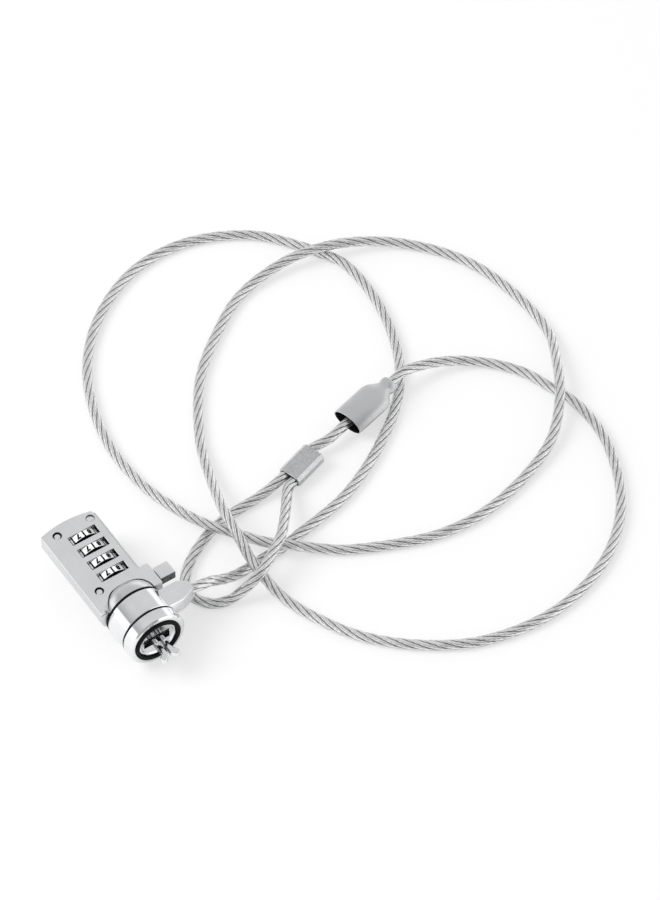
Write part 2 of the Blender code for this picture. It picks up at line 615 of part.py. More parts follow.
def cable_route():
    """The places that the cable passes, chosen by hand along the way that it lies."""
    start = Vector((AXIS_X, REAR_Y, AXIS_Z))
    lug = [start + at(x, CABLE_S, CABLE_Z) for x in (0.0153, 0.0172, 0.0192)]
    first_loop = [
        (0.0210, -0.0122, 0.0115), (0.0265, -0.0112, 0.0074), (0.0325, -0.0097, 0.0034),
        (0.0392, -0.0085, 0.0017), (0.0457, -0.0080, 0.0017), (0.0510, -0.0079, 0.0017),
        (0.0580, -0.0065, 0.0017), (0.0675, -0.0048, 0.0017), (0.0789, -0.0019, 0.0017),
        (0.0930, 0.0048, 0.0017), (0.1081, 0.0149, 0.0017), (0.1125, 0.0188, 0.0017),
        (0.1184, 0.0251, 0.0017), (0.1263, 0.0380, 0.0017), (0.1325, 0.0593, 0.0017),
        (0.1324, 0.0785, 0.0017), (0.1282, 0.0871, 0.0017), (0.1247, 0.0926, 0.0017),
        (0.1161, 0.1036, 0.0017), (0.1050, 0.1109, 0.0017), (0.0919, 0.1152, 0.0017),
        (0.0761, 0.1149, 0.0017), (0.0605, 0.1087, 0.0017), (0.0459, 0.0971, 0.0017),
        (0.0352, 0.0817, 0.0017), (0.0280, 0.0594, 0.0017), (0.0277, 0.0397, 0.0017),
    ]
    middle_loop = [
        (0.0316, 0.0210, 0.0034), (0.0360, 0.0087, 0.0057), (0.0414, 0.0013, 0.0055),
        (0.0458, -0.0045, 0.0054), (0.0506, -0.0092, 0.0055), (0.0580, -0.0133, 0.0028),
        (0.0670, -0.0196, 0.0017), (0.0828, -0.0271, 0.0017), (0.0953, -0.0311, 0.0017),
        (0.1101, -0.0320, 0.0017), (0.1282, -0.0283, 0.0017), (0.1456, -0.0209, 0.0032),
        (0.1575, -0.0091, 0.0057), (0.1647, 0.0025, 0.0048), (0.1715, 0.0168, 0.0019),
        (0.1715, 0.0383, 0.0017), (0.1656, 0.0586, 0.0017), (0.1527, 0.0748, 0.0022),
        (0.1379, 0.0825, 0.0048), (0.1254, 0.0860, 0.0057), (0.1138, 0.0881, 0.0038),
        (0.0969, 0.0858, 0.0017), (0.0792, 0.0748, 0.0017), (0.0661, 0.0629, 0.0017),
        (0.0530, 0.0426, 0.0018), (0.0462, 0.0256, 0.0045), (0.0413, 0.0104, 0.0085),
        (0.0391, -0.0022, 0.0092), (0.0386, -0.0088, 0.0066), (0.0387, -0.0151, 0.0054),
        (0.0403, -0.0235, 0.0024),
    ]
    last_loop = [
        (0.0440, -0.0343, 0.0017), (0.0524, -0.0496, 0.0017), (0.0658, -0.0627, 0.0017),
        (0.0820, -0.0720, 0.0017), (0.1021, -0.0757, 0.0017), (0.1189, -0.0736, 0.0017),
        (0.1361, -0.0660, 0.0017), (0.1506, -0.0520, 0.0017), (0.1606, -0.0302, 0.0017),
        (0.1618, -0.0133, 0.0017), (0.1586, -0.0022, 0.0017), (0.1544, 0.0086, 0.0017),
        (0.1455, 0.0188, 0.0021), (0.1330, 0.0246, 0.0046),
    ]
    axis, middle = cover_axis(), ferrule_middle()
    straight = [NECK_END + axis * t for t in (-0.0060, -0.0020, 0.0030, 0.0100, 0.0180, 0.0245, 0.0285)]
    leg, aside = ferrule_axis(), level_side(ferrule_axis()) * LEG_OFFSET
    out = [middle - aside + leg * t for t in (-0.0062, -0.0020, 0.0020, 0.0065)]
    straight.append((straight[-1] + out[0]) / 2)
    eye = [
        (0.0615, 0.0132, 0.0030), (0.0570, 0.0128, 0.0022), (0.0526, 0.0126, 0.0017),
        (0.0453, 0.0121, 0.0017),
        (0.0380, 0.0107, 0.0017), (0.0319, 0.0082, 0.0017), (0.0250, 0.0043, 0.0017),
        (0.0200, -0.0002, 0.0017), (0.0175, -0.0047, 0.0017), (0.0180, -0.0097, 0.0017),
        (0.0212, -0.0138, 0.0017), (0.0262, -0.0160, 0.0024), (0.0320, -0.0172, 0.0062),
        (0.0383, -0.0164, 0.0093), (0.0440, -0.0129, 0.0095), (0.0495, -0.0093, 0.0096),
        (0.0550, -0.0033, 0.0079), (0.0592, 0.0020, 0.0061), (0.0630, 0.0071, 0.0045),
        (0.0645, 0.0089, 0.0040), (0.0661, 0.0101, 0.0037),
    ]
    back = [middle + aside + leg * t for t in (0.0062, 0.0020, -0.0020, -0.0055)]
    return lug + [Vector(p) for p in first_loop + middle_loop + last_loop] + straight + out + \
        [Vector(p) for p in eye] + back


def smooth_path(points, step):
    """Points along one smooth curve through the given places, a Catmull-Rom curve with even speed."""
    ends = [2 * points[0] - points[1]] + points + [2 * points[-1] - points[-2]]
    path = []
    for a, b, c, d in zip(ends, ends[1:], ends[2:], ends[3:]):
        t0, t1, t2 = (math.sqrt((q - p).length) for p, q in ((a, b), (b, c), (c, d)))
        leave = (b - a) / t0 - (c - a) / (t0 + t1) + (c - b) / t1
        reach = (c - b) / t1 - (d - b) / (t1 + t2) + (d - c) / t2
        pieces = max(2, round((c - b).length / step))
        for i in range(pieces):
            u = i / pieces
            blend = (2 * u ** 3 - 3 * u ** 2 + 1, u ** 3 - 2 * u ** 2 + u, 3 * u ** 2 - 2 * u ** 3, u ** 3 - u ** 2)
            path.append(blend[0] * b + blend[1] * t1 * leave + blend[2] * c + blend[3] * t1 * reach)
    return path + [points[-1]]


def thin_path(path, tolerance, most_long):
    """Fewer points: each straight stretch runs on while the path stays beside it."""
    kept, start = [path[0]], 0
    for i in range(2, len(path)):
        along = (path[i] - path[start]).normalized()
        off = max((p - path[start]).cross(along).length for p in path[start + 1:i])
        if off > tolerance or (path[i] - path[start]).length > most_long:
            kept.append(path[i - 1])
            start = i - 1
    return kept + [path[-1]]


def report_cable(path, kept):
    """Prints the cable's length, its tightest bend and the least gap between two of its runs."""
    length = sum((b - a).length for a, b in zip(path, path[1:]))
    bend = min((b - a).length / max((b - a).angle(c - b), 1e-6) for a, b, c in zip(path, path[2:], path[4:]))
    dense, runs = [kept[0]], [0.0]
    for a, b in zip(kept, kept[1:]):
        pieces = math.ceil((b - a).length / 0.0006)
        dense += [a.lerp(b, i / pieces) for i in range(1, pieces + 1)]
        runs += [runs[-1] + (b - a).length / pieces * i for i in range(1, pieces + 1)]
    gap, spot = 1.0, None
    for i, here in enumerate(dense):
        for j in range(0, i, 2):
            if runs[i] - runs[j] > 4 * CABLE_D and (here - dense[j]).length < gap:
                gap, spot = (here - dense[j]).length, [round(v * 1000, 1) for v in here]
    print(f"cable: {length:.4f} m, {len(kept)} points, tightest bend {bend * 1000:.1f} mm, "
          f"least gap to itself {(gap - CABLE_D) * 1000:.2f} mm at {spot}, lowest {min(p.z for p in path):.5f}")


def build_cable(parent):
    path = smooth_path(cable_route(), 0.0012)
    for point in path:
        point.z = max(point.z, CABLE_LOW)
    kept = thin_path(path, 0.00012, 0.015)
    report_cable(path, kept)
    finish(tube_curve("steel_cable", kept, CABLE_D / 2, 2, parent), COATED_STEEL)


def frame_on_cable(origin, axis):
    """A matrix whose X is the axis, Y is level and Z is up."""
    level = Vector((-axis.y, axis.x, 0)).normalized()
    up = axis.cross(level)
    return Matrix.Translation(origin) @ Matrix((axis, level, up)).transposed().to_4x4()


def rounded_box(half_w, half_h, corner, count=6):
    """A rounded rectangle's points across a piece, as (level, up)."""
    points = []
    for start, cx, cy in ((0, 1, 1), (90, -1, 1), (180, -1, -1), (270, 1, -1)):
        centre = (cx * (half_w - corner), cy * (half_h - corner))
        points += arc(corner, start, start + 90, count, centre)
    return points


def cut_box(half_w, half_h, corner, count=6):
    """A rectangle with cut corners, with its points in the same order and number as a rounded one."""
    points = []
    for start, cx, cy in ((0, 1, 1), (90, -1, 1), (180, -1, -1), (270, 1, -1)):
        near, far = arc(corner, start, start + 90, 2, (cx * (half_w - corner), cy * (half_h - corner)))
        points += [tuple(a + (b - a) * i / (count - 1) for a, b in zip(near, far)) for i in range(count)]
    return points


def lens(half_w, top, bottom, power, count=16):
    """An oval's points across a piece, as (level, up); above 0.5 the power gives it corners at its sides."""
    points = []
    for high, side in ((top, 1), (-bottom, -1)):
        for i in range(count):
            across = side * math.cos(math.pi * i / count)
            points.append((half_w * across, high * (1 - across ** 2) ** power))
    return points


def loft_mesh(name, sections):
    """A closed skin over rings of points, each (distance, ring), whose last ring meets the first."""
    bm = bmesh.new()
    rings = [[bm.verts.new((t, y, z)) for y, z in points] for t, points in sections]
    for here, after in zip(rings, rings[1:] + rings[:1]):
        for i in range(len(here)):
            j = (i + 1) % len(here)
            bm.faces.new((here[i], here[j], after[j], after[i]))
    bmesh.ops.recalc_face_normals(bm, faces=bm.faces)
    mesh = bpy.data.meshes.new(name)
    bm.to_mesh(mesh)
    bm.free()
    return mesh


def build_ferrule(parent):
    """The crimped sleeve that holds the eye's two legs side by side."""
    long, wide, high = FERRULE_SIZE
    bore = CABLE_D / 2 + 0.00025
    outer = cut_box(wide / 2, high / 2, FERRULE_CORNER)
    hole = rounded_box(LEG_OFFSET + bore, bore, bore - 0.00002)
    eased = cut_box(wide / 2 - 0.0002, high / 2 - 0.0002, FERRULE_CORNER)
    half = long / 2
    sections = [(-half, eased), (-half + 0.0002, outer), (half - 0.0002, outer), (half, eased),
                (half, hole), (-half, hole)]
    obj = place("end_ferrule", loft_mesh("end_ferrule", sections), parent)
    obj.matrix_world = frame_on_cable(ferrule_middle(), ferrule_axis())
    finish(obj, ZINC)


def build_ferrule_cover(parent):
    """The flat hood that slides down the cable and over the ferrule, with a lens-shaped open end."""
    bore = CABLE_D / 2 + CABLE_GAP
    outside = [(0.0, 0.0026, 0.0026, 0.0026, 0.5), (0.0004, 0.0029, 0.0029, 0.0029, 0.5),
               (0.0016, 0.0029, 0.0029, 0.0029, 0.5), (0.0026, 0.0026, 0.0026, 0.0026, 0.5),
               (0.0036, 0.0030, 0.0027, 0.0027, 0.5), (0.0048, 0.0041, 0.0030, 0.0029, 0.53),
               (0.0060, 0.0052, 0.0034, 0.0033, 0.57), (0.0072, 0.0057, 0.00365, 0.0034, 0.60),
               (0.0084, 0.0058, 0.0037, 0.00345, 0.60), (COVER_LONG, 0.0058, 0.0037, 0.00345, 0.60)]
    inside = [(COVER_LONG, 0.0052, 0.0032, 0.0030, 0.5), (0.0080, 0.0052, 0.0032, 0.0030, 0.5),
              (0.0064, 0.0046, 0.0029, 0.0028, 0.5), (0.0050, 0.0034, 0.0024, 0.0024, 0.5),
              (0.0038, 0.0023, 0.0021, 0.0021, 0.5), (0.0026, bore, bore, bore, 0.5), (0.0, bore, bore, bore, 0.5)]
    sections = [(t, lens(*shape)) for t, *shape in outside + inside]
    obj = place("ferrule_cover", loft_mesh("ferrule_cover", sections), parent)
    obj.matrix_world = frame_on_cable(NECK_END, cover_axis())
    finish(obj, ZINC)


def build():
    lock = bpy.data.objects.new("lock_axis", None)
    lock.location = (AXIS_X, REAR_Y, AXIS_Z)
    PARTS.objects.link(lock)
    cable = bpy.data.objects.new("cable_run", None)
    PARTS.objects.link(cable)
    bpy.context.view_layer.update()
    build_housing(lock)
    build_cover_plate(lock)
    build_rivets(lock)
    build_barrel(lock)
    build_hook_carrier(lock)
    build_springs(lock)
    build_code_screw(lock)
    build_dials(lock)
    build_lever(lock)
    build_spindle(lock)
    build_hooks(lock)
    build_collar(lock)
    build_cable(cable)
    build_ferrule(cable)
    build_ferrule_cover(cable)
    bpy.context.view_layer.update()


clear_scene()
PARTS = new_collection("laptop_cable_lock")
CUTTERS = new_collection("cutters")
build()
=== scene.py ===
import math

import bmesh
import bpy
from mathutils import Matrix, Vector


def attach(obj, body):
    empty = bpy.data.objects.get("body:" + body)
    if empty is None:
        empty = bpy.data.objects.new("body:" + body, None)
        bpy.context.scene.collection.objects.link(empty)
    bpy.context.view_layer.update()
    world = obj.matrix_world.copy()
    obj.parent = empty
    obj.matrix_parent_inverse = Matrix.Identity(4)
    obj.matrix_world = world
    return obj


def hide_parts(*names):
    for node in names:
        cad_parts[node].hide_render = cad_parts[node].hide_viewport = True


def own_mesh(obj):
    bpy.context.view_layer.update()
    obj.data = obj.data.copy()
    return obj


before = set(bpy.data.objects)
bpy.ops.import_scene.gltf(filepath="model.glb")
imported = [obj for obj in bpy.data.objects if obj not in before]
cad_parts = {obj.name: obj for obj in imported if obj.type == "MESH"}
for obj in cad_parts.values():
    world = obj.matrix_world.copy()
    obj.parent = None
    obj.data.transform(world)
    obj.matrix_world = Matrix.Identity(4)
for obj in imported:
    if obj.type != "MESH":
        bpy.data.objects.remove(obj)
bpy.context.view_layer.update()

# A laptop cable lock: a four-dial lock head on a turning collar, and a coated steel cable that ends in
# an eye. Metres, +Z up. The lock's nose points at -Y. Inside the lock a place is given across the barrel
# (x), towards the nose (s, from the rear corners) and up from the barrel's axis (z), as in the part's
# own source.

SCENE = bpy.context.scene

# Where the lock's own x, s and z are 0.
LOCK = Vector((-0.00325, 0.028175, 0.0099))

# The camera, from the photograph, and the one lamp.
CAMERA_AZIMUTH = math.radians(-33.894)
CAMERA_ELEVATION = math.radians(52.21)
CAMERA_DISTANCE = 1.4
CAMERA_TARGET = Vector((0.0860, 0.017075, 0))
CAMERA_REACH = 20
LENS_MM = 175
SENSOR_MM = 36
LAMP_PLACE = Vector((-0.9, 0.55, 1.2))
LAMP_TARGET = Vector((0.06, 0.02, 0))
LAMP_SIZE = 0.9
LAMP_WATTS = 16

# The floor, and its own white as a share of what each kind of ray sees.
FLOOR_SIZE = 6.0
FLOOR_GREY = 0.86
FLOOR_SEEN = 0.55
FLOOR_REFLECTED = 0.10
FLOOR_THROUGH = 0.55

# The room. Its greys go from the horizon to a height, once as the metal reflects it and once as it
# lights the rest. A zone is bounded by limits on a direction's parts, each limit with the value where
# the zone starts and the value from which it is full.
ROOM_REFLECTED = (0.45, 0.84, 0.70)
ROOM_SOFT = (0.9, 0.95, 0.75)
DIM_LEFT = (("height", 0.80, 0.50), ("across", -0.10, -0.45))
DIM_GREY = 0.46
AHEAD = (("depth", -0.30, -0.60), ("off_middle", 0.50, 0.35))
AHEAD_GREY = 0.34
WHITE_ZONES = (
    (("height", 0.32, 0.20), ("across", 0.35, 0.55)),
    (("height", 0.42, 0.36), ("across", -0.25, -0.50)),
    (("height", 0.50, 0.46), ("across", 0.30, 0.42), ("depth", -0.30, -0.45)),
)
WHITE_LEVEL = 1.3
DARK_SIDE = Vector((-0.45, -0.75, 0.45)).normalized()
DARK_CONE = (0.80, 0.90)
DARK_GREY = 0.42

# Where the values of the grain's masks mostly lie, and what all metals share.
NOISE = (0.3, 0.7)
METAL_GRAIN = 4000.0
METAL_TINT = 0.01
ROUGH_CHANGE = 0.12

# The cable: its declared thickness, its drawn strands, which are a little thicker, and the fine wires
# in them as its material has them. REST_Z is the height of its middle where it lies on the floor, and
# CABLE_LOW the least height that keeps the strands out of the floor.
CABLE_LOW = 0.00172
REST_Z = 0.0017
STRANDS_D = 0.0034
STRANDS = 6
STRAND_FACES = 6
LAY_PITCH = 0.0300
GROOVE = 0.00034
GROOVE_POWER = 3.0
# The grooves between the strands are painted dark for the shade in them.
GROOVE_SHADE = (0.34, 0.50)
WIRES_ACROSS = 3.0
WIRES_ALONG = -12.0
# The fine wires are painted lighter and darker across them, for the light on their round tops and the
# shade between them.
WIRE_LIGHT_AND_SHADE = 0.55
WIRE_HEIGHT = 0.5
WIRE_BUMP = 0.00003
PATH_STEP = 0.0004
RING_STEP = 0.0008

# The cable's way: out of the lug, through three loops, straight through the cover and the ferrule, and
# round the eye. A place without a height lies on the floor.
LUG_X = (0.0153, 0.0172, 0.0192)
LUG_S = 0.0407
LUG_Z = 0.0030
FIRST_LOOP = (
    (0.0210, -0.0122, 0.0115), (0.0265, -0.0112, 0.0074), (0.0325, -0.0097, 0.0034),
    (0.0392, -0.0085), (0.0457, -0.0080), (0.0510, -0.0079), (0.0580, -0.0065), (0.0675, -0.0048),
    (0.0789, -0.0019), (0.0930, 0.0048), (0.1081, 0.0149), (0.1125, 0.0188), (0.1184, 0.0251),
    (0.1263, 0.0380), (0.1325, 0.0593), (0.1324, 0.0785), (0.1282, 0.0871), (0.1247, 0.0926),
    (0.1161, 0.1036), (0.1050, 0.1109), (0.0919, 0.1152), (0.0761, 0.1149), (0.0605, 0.1087),
    (0.0459, 0.0971), (0.0352, 0.0817), (0.0280, 0.0594), (0.0277, 0.0397),
)
MIDDLE_LOOP = (
    (0.0316, 0.0210, 0.0034), (0.0360, 0.0087, 0.0057), (0.0414, 0.0013, 0.0055),
    (0.0458, -0.0045, 0.0054), (0.0506, -0.0092, 0.0055), (0.0580, -0.0133, 0.0028),
    (0.0670, -0.0196), (0.0828, -0.0271), (0.0953, -0.0311), (0.1101, -0.0320), (0.1282, -0.0283),
    (0.1456, -0.0209, 0.0032), (0.1575, -0.0091, 0.0057), (0.1647, 0.0025, 0.0048),
    (0.1715, 0.0168, 0.0019), (0.1715, 0.0383), (0.1656, 0.0586), (0.1527, 0.0748, 0.0022),
    (0.1379, 0.0825, 0.0048), (0.1254, 0.0860, 0.0057), (0.1138, 0.0881, 0.0038),
    (0.0969, 0.0858), (0.0792, 0.0748), (0.0661, 0.0629), (0.0530, 0.0426, 0.0018),
    (0.0462, 0.0256, 0.0045), (0.0413, 0.0104, 0.0085), (0.0391, -0.0022, 0.0092),
    (0.0386, -0.0088, 0.0066), (0.0387, -0.0151, 0.0054), (0.0403, -0.0235, 0.0024),
)
LAST_LOOP = (
    (0.0440, -0.0343), (0.0524, -0.0496), (0.0658, -0.0627), (0.0820, -0.0720), (0.1021, -0.0757),
    (0.1189, -0.0736), (0.1361, -0.0660), (0.1506, -0.0520), (0.1606, -0.0302), (0.1618, -0.0133),
    (0.1586, -0.0022), (0.1544, 0.0086), (0.1455, 0.0188, 0.0021), (0.1330, 0.0246, 0.0046),
)
EYE = (
    (0.0615, 0.0132, 0.0030), (0.0570, 0.0128, 0.0022), (0.0526, 0.0126), (0.0453, 0.0121),
    (0.0380, 0.0107), (0.0319, 0.0082), (0.0250, 0.0043), (0.0200, -0.0002), (0.0175, -0.0047),
    (0.0180, -0.0097), (0.0212, -0.0138), (0.0262, -0.0160, 0.0024), (0.0320, -0.0172, 0.0062),
    (0.0383, -0.0164, 0.0093), (0.0440, -0.0129, 0.0095), (0.0495, -0.0093, 0.0096),
    (0.0550, -0.0033, 0.0079), (0.0592, 0.0020, 0.0061), (0.0630, 0.0071, 0.0045),
    (0.0645, 0.0089, 0.0040), (0.0661, 0.0101, 0.0037),
)
THROUGH_COVER = (-0.0060, -0.0020, 0.0030, 0.0100, 0.0180, 0.0245, 0.0285)
INTO_FERRULE = (-0.0062, -0.0020, 0.0020, 0.0065)
BACK_THROUGH_FERRULE = (0.0062, 0.0020, -0.0020, -0.0055)
LEG_OFFSET = 0.00185

# The cover and the ferrule. FERRULE_HALF holds the inner faces: aside, up, and the sum of the two.
NECK_END = Vector((0.1144, 0.0246, 0.0065))
COVER_TURN = math.radians(-166.5)
COVER_DROP = math.radians(3.6)
COVER_EDGE = 0.00014
COVER_INWARD = -0.0002
FERRULE_FROM_NECK = 0.04225
FERRULE_OFFSET = 0.0003
FERRULE_TURN = math.radians(3.0)
FERRULE_HALF = (0.0038, 0.0019, 0.0046)
FERRULE_EDGE = 0.00018

# The cover plate, the rivets that hold it and the dials in its windows.
NEAR = 0.0001
PLATE_TOP = 0.0064
PLATE_TOP_SLACK = 0.00002
PLATE_EDGE = 0.00034
RIVETS = ((-0.00695, 0.0024), (0.0052, 0.0022), (-0.0073, 0.0276))
RIVET_HOLE_R = 0.0015
RIVET_HOLE_EDGE = 0.00007
WINDOW_HALF = (0.0051, 0.00135)
WINDOW_MORE = 0.0006
WINDOW_EDGE = 0.00012
DIAL_COUNT = 4
DIAL_S = 0.0064
DIAL_PITCH = 0.0056
DIAL_BACK = 0.00035
DIAL_R = 0.0066
DIAL_GROOVE_R = 0.0062
DIAL_EDGE = 0.00007
DIAL_TURNED = math.radians(3)
DIAL_MORE = 0.0004
GROOVE_SHARE = 0.6
GROOVE_REACH_DEG = 5
DIGITS = 10
DIGIT_STEP_DEG = 36
DIGIT_AT_RIGHT = 8
DIGIT_HIGH = 0.00195
DIGIT_WIDE = 0.00195
DIGIT_BOLD = 0.00014
DIGIT_SIZE = 0.0022
DIGIT_THICK = 0.00004
DIGIT_LIFT = 0.00001

# The lever's end, painted dark for the shade it reflects, the hooks, whose sides are painted dark for
# shade, the slotted plate between them and the return spring.
LEVER_END_X = 0.0105
HOOK_ROUND = 0.0005
HOOK_ROUND_S = 0.0465
HOOK_SHADE_S = 0.0538
NOSE_PLATE_EDGE = 0.00012
NOSE_PLATE_S = 0.0485

# The black seals: the ring round the nose's face is drawn out to its neighbours, the washers stand a
# little proud.
FACE_RING_R = 0.00745
FACE_RING_MORE = 1.3
WASHER_MORE = 1.02

# How a face must lie to be painted with shade or with a highlight: the share of its normal along a
# direction. A slanted face lies between two shares of up.
SLANTED = (0.05, 0.95)
UPRIGHT = 0.3
HALF_WAY = 0.5
SIDEWAYS = 0.75
FORWARD = 0.85
ENDWAYS = 0.9

# Joining of the CAD's faces, and the area from which a face is shaded flat.
MERGE_WITHIN = 0.000002
DIGIT_MERGE_WITHIN = 0.000001
FLAT_WITHIN = math.radians(1)
FLAT_FITTING_AREA = 0.000003
FLAT_CASTING_AREA = 0.00002


def at(x, s, z):
    """A place in the lock, in the scene's own axes."""
    return LOCK + Vector((x, -s, z))


def place_in_lock(point):
    """A point of the scene as (x, s, z) inside the lock."""
    return point.x - LOCK.x, LOCK.y - point.y, point.z - LOCK.z


# --- node groups and materials -----------------------------------------------------------------------

def node_group(name, inputs, outputs):
    """An empty shader group with named sockets, each given as name: (kind, default)."""
    group = bpy.data.node_groups.new(name, "ShaderNodeTree")
    for in_out, sockets in (("INPUT", inputs), ("OUTPUT", outputs)):
        for label, (kind, default) in sockets.items():
            socket = group.interface.new_socket(label, in_out=in_out, socket_type=f"NodeSocket{kind}")
            if default is not None:
                socket.default_value = default
    return group, group.nodes.new("NodeGroupInput"), group.nodes.new("NodeGroupOutput")


def fill(tree, made, **inputs):
    """Sets a node's inputs, by name or by number as _0; an input given as a socket is linked."""
    for key, value in inputs.items():
        socket = made.inputs[int(key[1:]) if key[0] == "_" else key.replace("_", " ")]
        if isinstance(value, bpy.types.NodeSocket):
            tree.links.new(value, socket)
        else:
            socket.default_value = value
    return made


def node(tree, kind, settings=None, **inputs):
    """A node with its settings and inputs."""
    made = tree.nodes.new(f"ShaderNode{kind}")
    for key, value in (settings or {}).items():
        setattr(made, key, value)
    return fill(tree, made, **inputs)


def maths(tree, operation, a, b=0.0, clamp=False):
    return node(tree, "Math", {"operation": operation, "use_clamp": clamp}, _0=a, _1=b).outputs[0]


def spread(tree, value, low, high, to_low=0.0, to_high=1.0):
    """value moved from one range to another, and held inside it."""
    return node(tree, "MapRange", Value=value, From_Min=low, From_Max=high, To_Min=to_low,
                To_Max=to_high).outputs[0]


def mixed(tree, factor, a, b):
    """A colour between a and b."""
    return node(tree, "Mix", {"data_type": "RGBA"}, _0=factor, _6=a, _7=b).outputs[2]


def blend(tree, a, b, share):
    """A value made of a share of a and the rest of b."""
    return maths(tree, "ADD", maths(tree, "MULTIPLY", a, share), maths(tree, "MULTIPLY", b, 1 - share))


def grey(level, tint=0.0):
    """A neutral colour, with a little blue where tint is above 0."""
    return (level * (1 - tint), level * (1 - tint / 3), level * (1 + tint), 1.0)


def surface_grain():
    """Fine grain, faint scratches and soft blotches of a cast and plated metal part."""
    tree, inside, out = node_group(
        "surface_grain",
        {"Vector": ("Vector", None), "Grain": ("Float", METAL_GRAIN), "Blotch": ("Float", 160.0),
         "Brush": ("Vector", (1.0, 1.0, 1.0))},
        {"Tone": ("Float", None), "Gloss": ("Float", None), "Height": ("Float", None)})
    given = inside.outputs
    grain = node(tree, "TexNoise", Vector=given["Vector"], Scale=given["Grain"], Detail=3.0,
                 Roughness=0.6)
    blotch = node(tree, "TexNoise", Vector=given["Vector"], Scale=given["Blotch"], Detail=4.0,
                  Roughness=0.55)
    drawn_out = node(tree, "VectorMath", {"operation": "MULTIPLY"}, _0=given["Vector"],
                     _1=given["Brush"])
    brush = node(tree, "TexNoise", Vector=drawn_out.outputs[0], Scale=900.0, Detail=5.0,
                 Roughness=0.65)
    for label, first, share in (("Tone", blotch, 0.6), ("Gloss", grain, 0.4), ("Height", grain, 0.55)):
        tree.links.new(blend(tree, first.outputs[0], brush.outputs[0], share), out.inputs[label])
    return tree


def soft_corner():
    """A normal that rounds sharp corners by a small radius."""
    tree, inside, out = node_group("soft_corner", {"Radius": ("Float", 0.0002)},
                                   {"Normal": ("Vector", None)})
    corner = node(tree, "Bevel", {"samples": 6}, Radius=inside.outputs["Radius"])
    tree.links.new(corner.outputs[0], out.inputs["Normal"])
    return tree


GRAIN = surface_grain()
CORNER = soft_corner()


def new_material(name):
    mat = bpy.data.materials.new(name)
    mat.use_nodes = True
    return mat, mat.node_tree, mat.node_tree.nodes["Principled BSDF"]


def grained_material(name, **grain):
    """A material with the outputs of its grain over the piece's own coordinates."""
    mat, tree, shader = new_material(name)
    coords = node(tree, "TexCoord").outputs["Object"]
    look = node(tree, "Group", {"node_tree": GRAIN}, Vector=coords, **grain).outputs
    return mat, tree, shader, look


def metal(name, level, rough, change=0.10, bump=0.00001, blotch=160.0, brush=(1.0, 1.0, 1.0),
          corner=0.0002, metallic=1.0):
    """A plated or bare metal: its tone, roughness and fine height all vary over the surface."""
    mat, tree, shader, look = grained_material(name, Grain=METAL_GRAIN, Blotch=blotch, Brush=brush)
    colour = mixed(tree, spread(tree, look["Tone"], *NOISE), grey(level * (1 - change), METAL_TINT),
                   grey(min(1.0, level * (1 + change)), METAL_TINT))
    roughness = spread(tree, look["Gloss"], *NOISE, rough * (1 - ROUGH_CHANGE),
                       rough * (1 + ROUGH_CHANGE))
    rounded = node(tree, "Group", {"node_tree": CORNER}, Radius=corner)
    height = node(tree, "Bump", Strength=1.0, Distance=bump, Height=look["Height"],
                  Normal=rounded.outputs[0])
    fill(tree, shader, Base_Color=colour, Roughness=roughness, Normal=height.outputs[0],
         Metallic=metallic)
    return mat


def black(name, tones, roughs, specular, grain, blotch, bump=None):
    """A matte black, a little uneven: filling paint, or rubber where bump gives it a moulded grain."""
    mat, tree, shader, look = grained_material(name, Grain=grain, Blotch=blotch)
    colour = mixed(tree, spread(tree, look["Tone"], *NOISE), grey(tones[0]), grey(tones[1]))
    fill(tree, shader, Base_Color=colour, Roughness=spread(tree, look["Gloss"], *NOISE, *roughs),
         Specular_IOR_Level=specular)
    if bump:
        height = node(tree, "Bump", Strength=1.0, Distance=bump, Height=look["Height"])
        fill(tree, shader, Normal=height.outputs[0])
    return mat


def coated_strands(name):
    """Bright wires in a clear coat, with painted shade in the grooves between the strands and painted
    light and shade across the fine wires; the piece's own map runs across the strands and along the
    cable.
    """
    mat, tree, shader, look = grained_material(name, Grain=2500.0, Blotch=420.0)
    place = node(tree, "UVMap", {"uv_map": "lay"}).outputs[0]
    across, along = node(tree, "SeparateXYZ", Vector=place).outputs[:2]
    from_middle = maths(tree, "ABSOLUTE", maths(tree, "SUBTRACT", maths(tree, "FRACT", across), 0.5))
    # Painted shade in the grooves between the strands.
    groove_shade = spread(tree, from_middle, *GROOVE_SHADE)
    wire = maths(tree, "ADD", maths(tree, "MULTIPLY", across, WIRES_ACROSS),
                 maths(tree, "MULTIPLY", along, WIRES_ALONG))
    wave = maths(tree, "SINE", maths(tree, "MULTIPLY", wire, math.tau))
    # The wave paints light and shade across the fine wires, over the metal's random tone.
    tone = maths(tree, "ADD", maths(tree, "MULTIPLY", wave, WIRE_LIGHT_AND_SHADE),
                 spread(tree, look["Tone"], 0.2, 0.7), clamp=True)
    steel = mixed(tree, tone, grey(0.50, METAL_TINT), grey(1.0))
    height = node(tree, "Bump", Strength=1.0, Distance=WIRE_BUMP,
                  Height=maths(tree, "MULTIPLY", wave, WIRE_HEIGHT))
    fill(tree, shader, Base_Color=mixed(tree, groove_shade, steel, grey(0.07, METAL_TINT)),
         Roughness=spread(tree, look["Gloss"], *NOISE, 0.16, 0.26), Normal=height.outputs[0],
         Metallic=0.9, Coat_Weight=0.6, Coat_Roughness=0.12, Coat_IOR=1.5)
    return mat


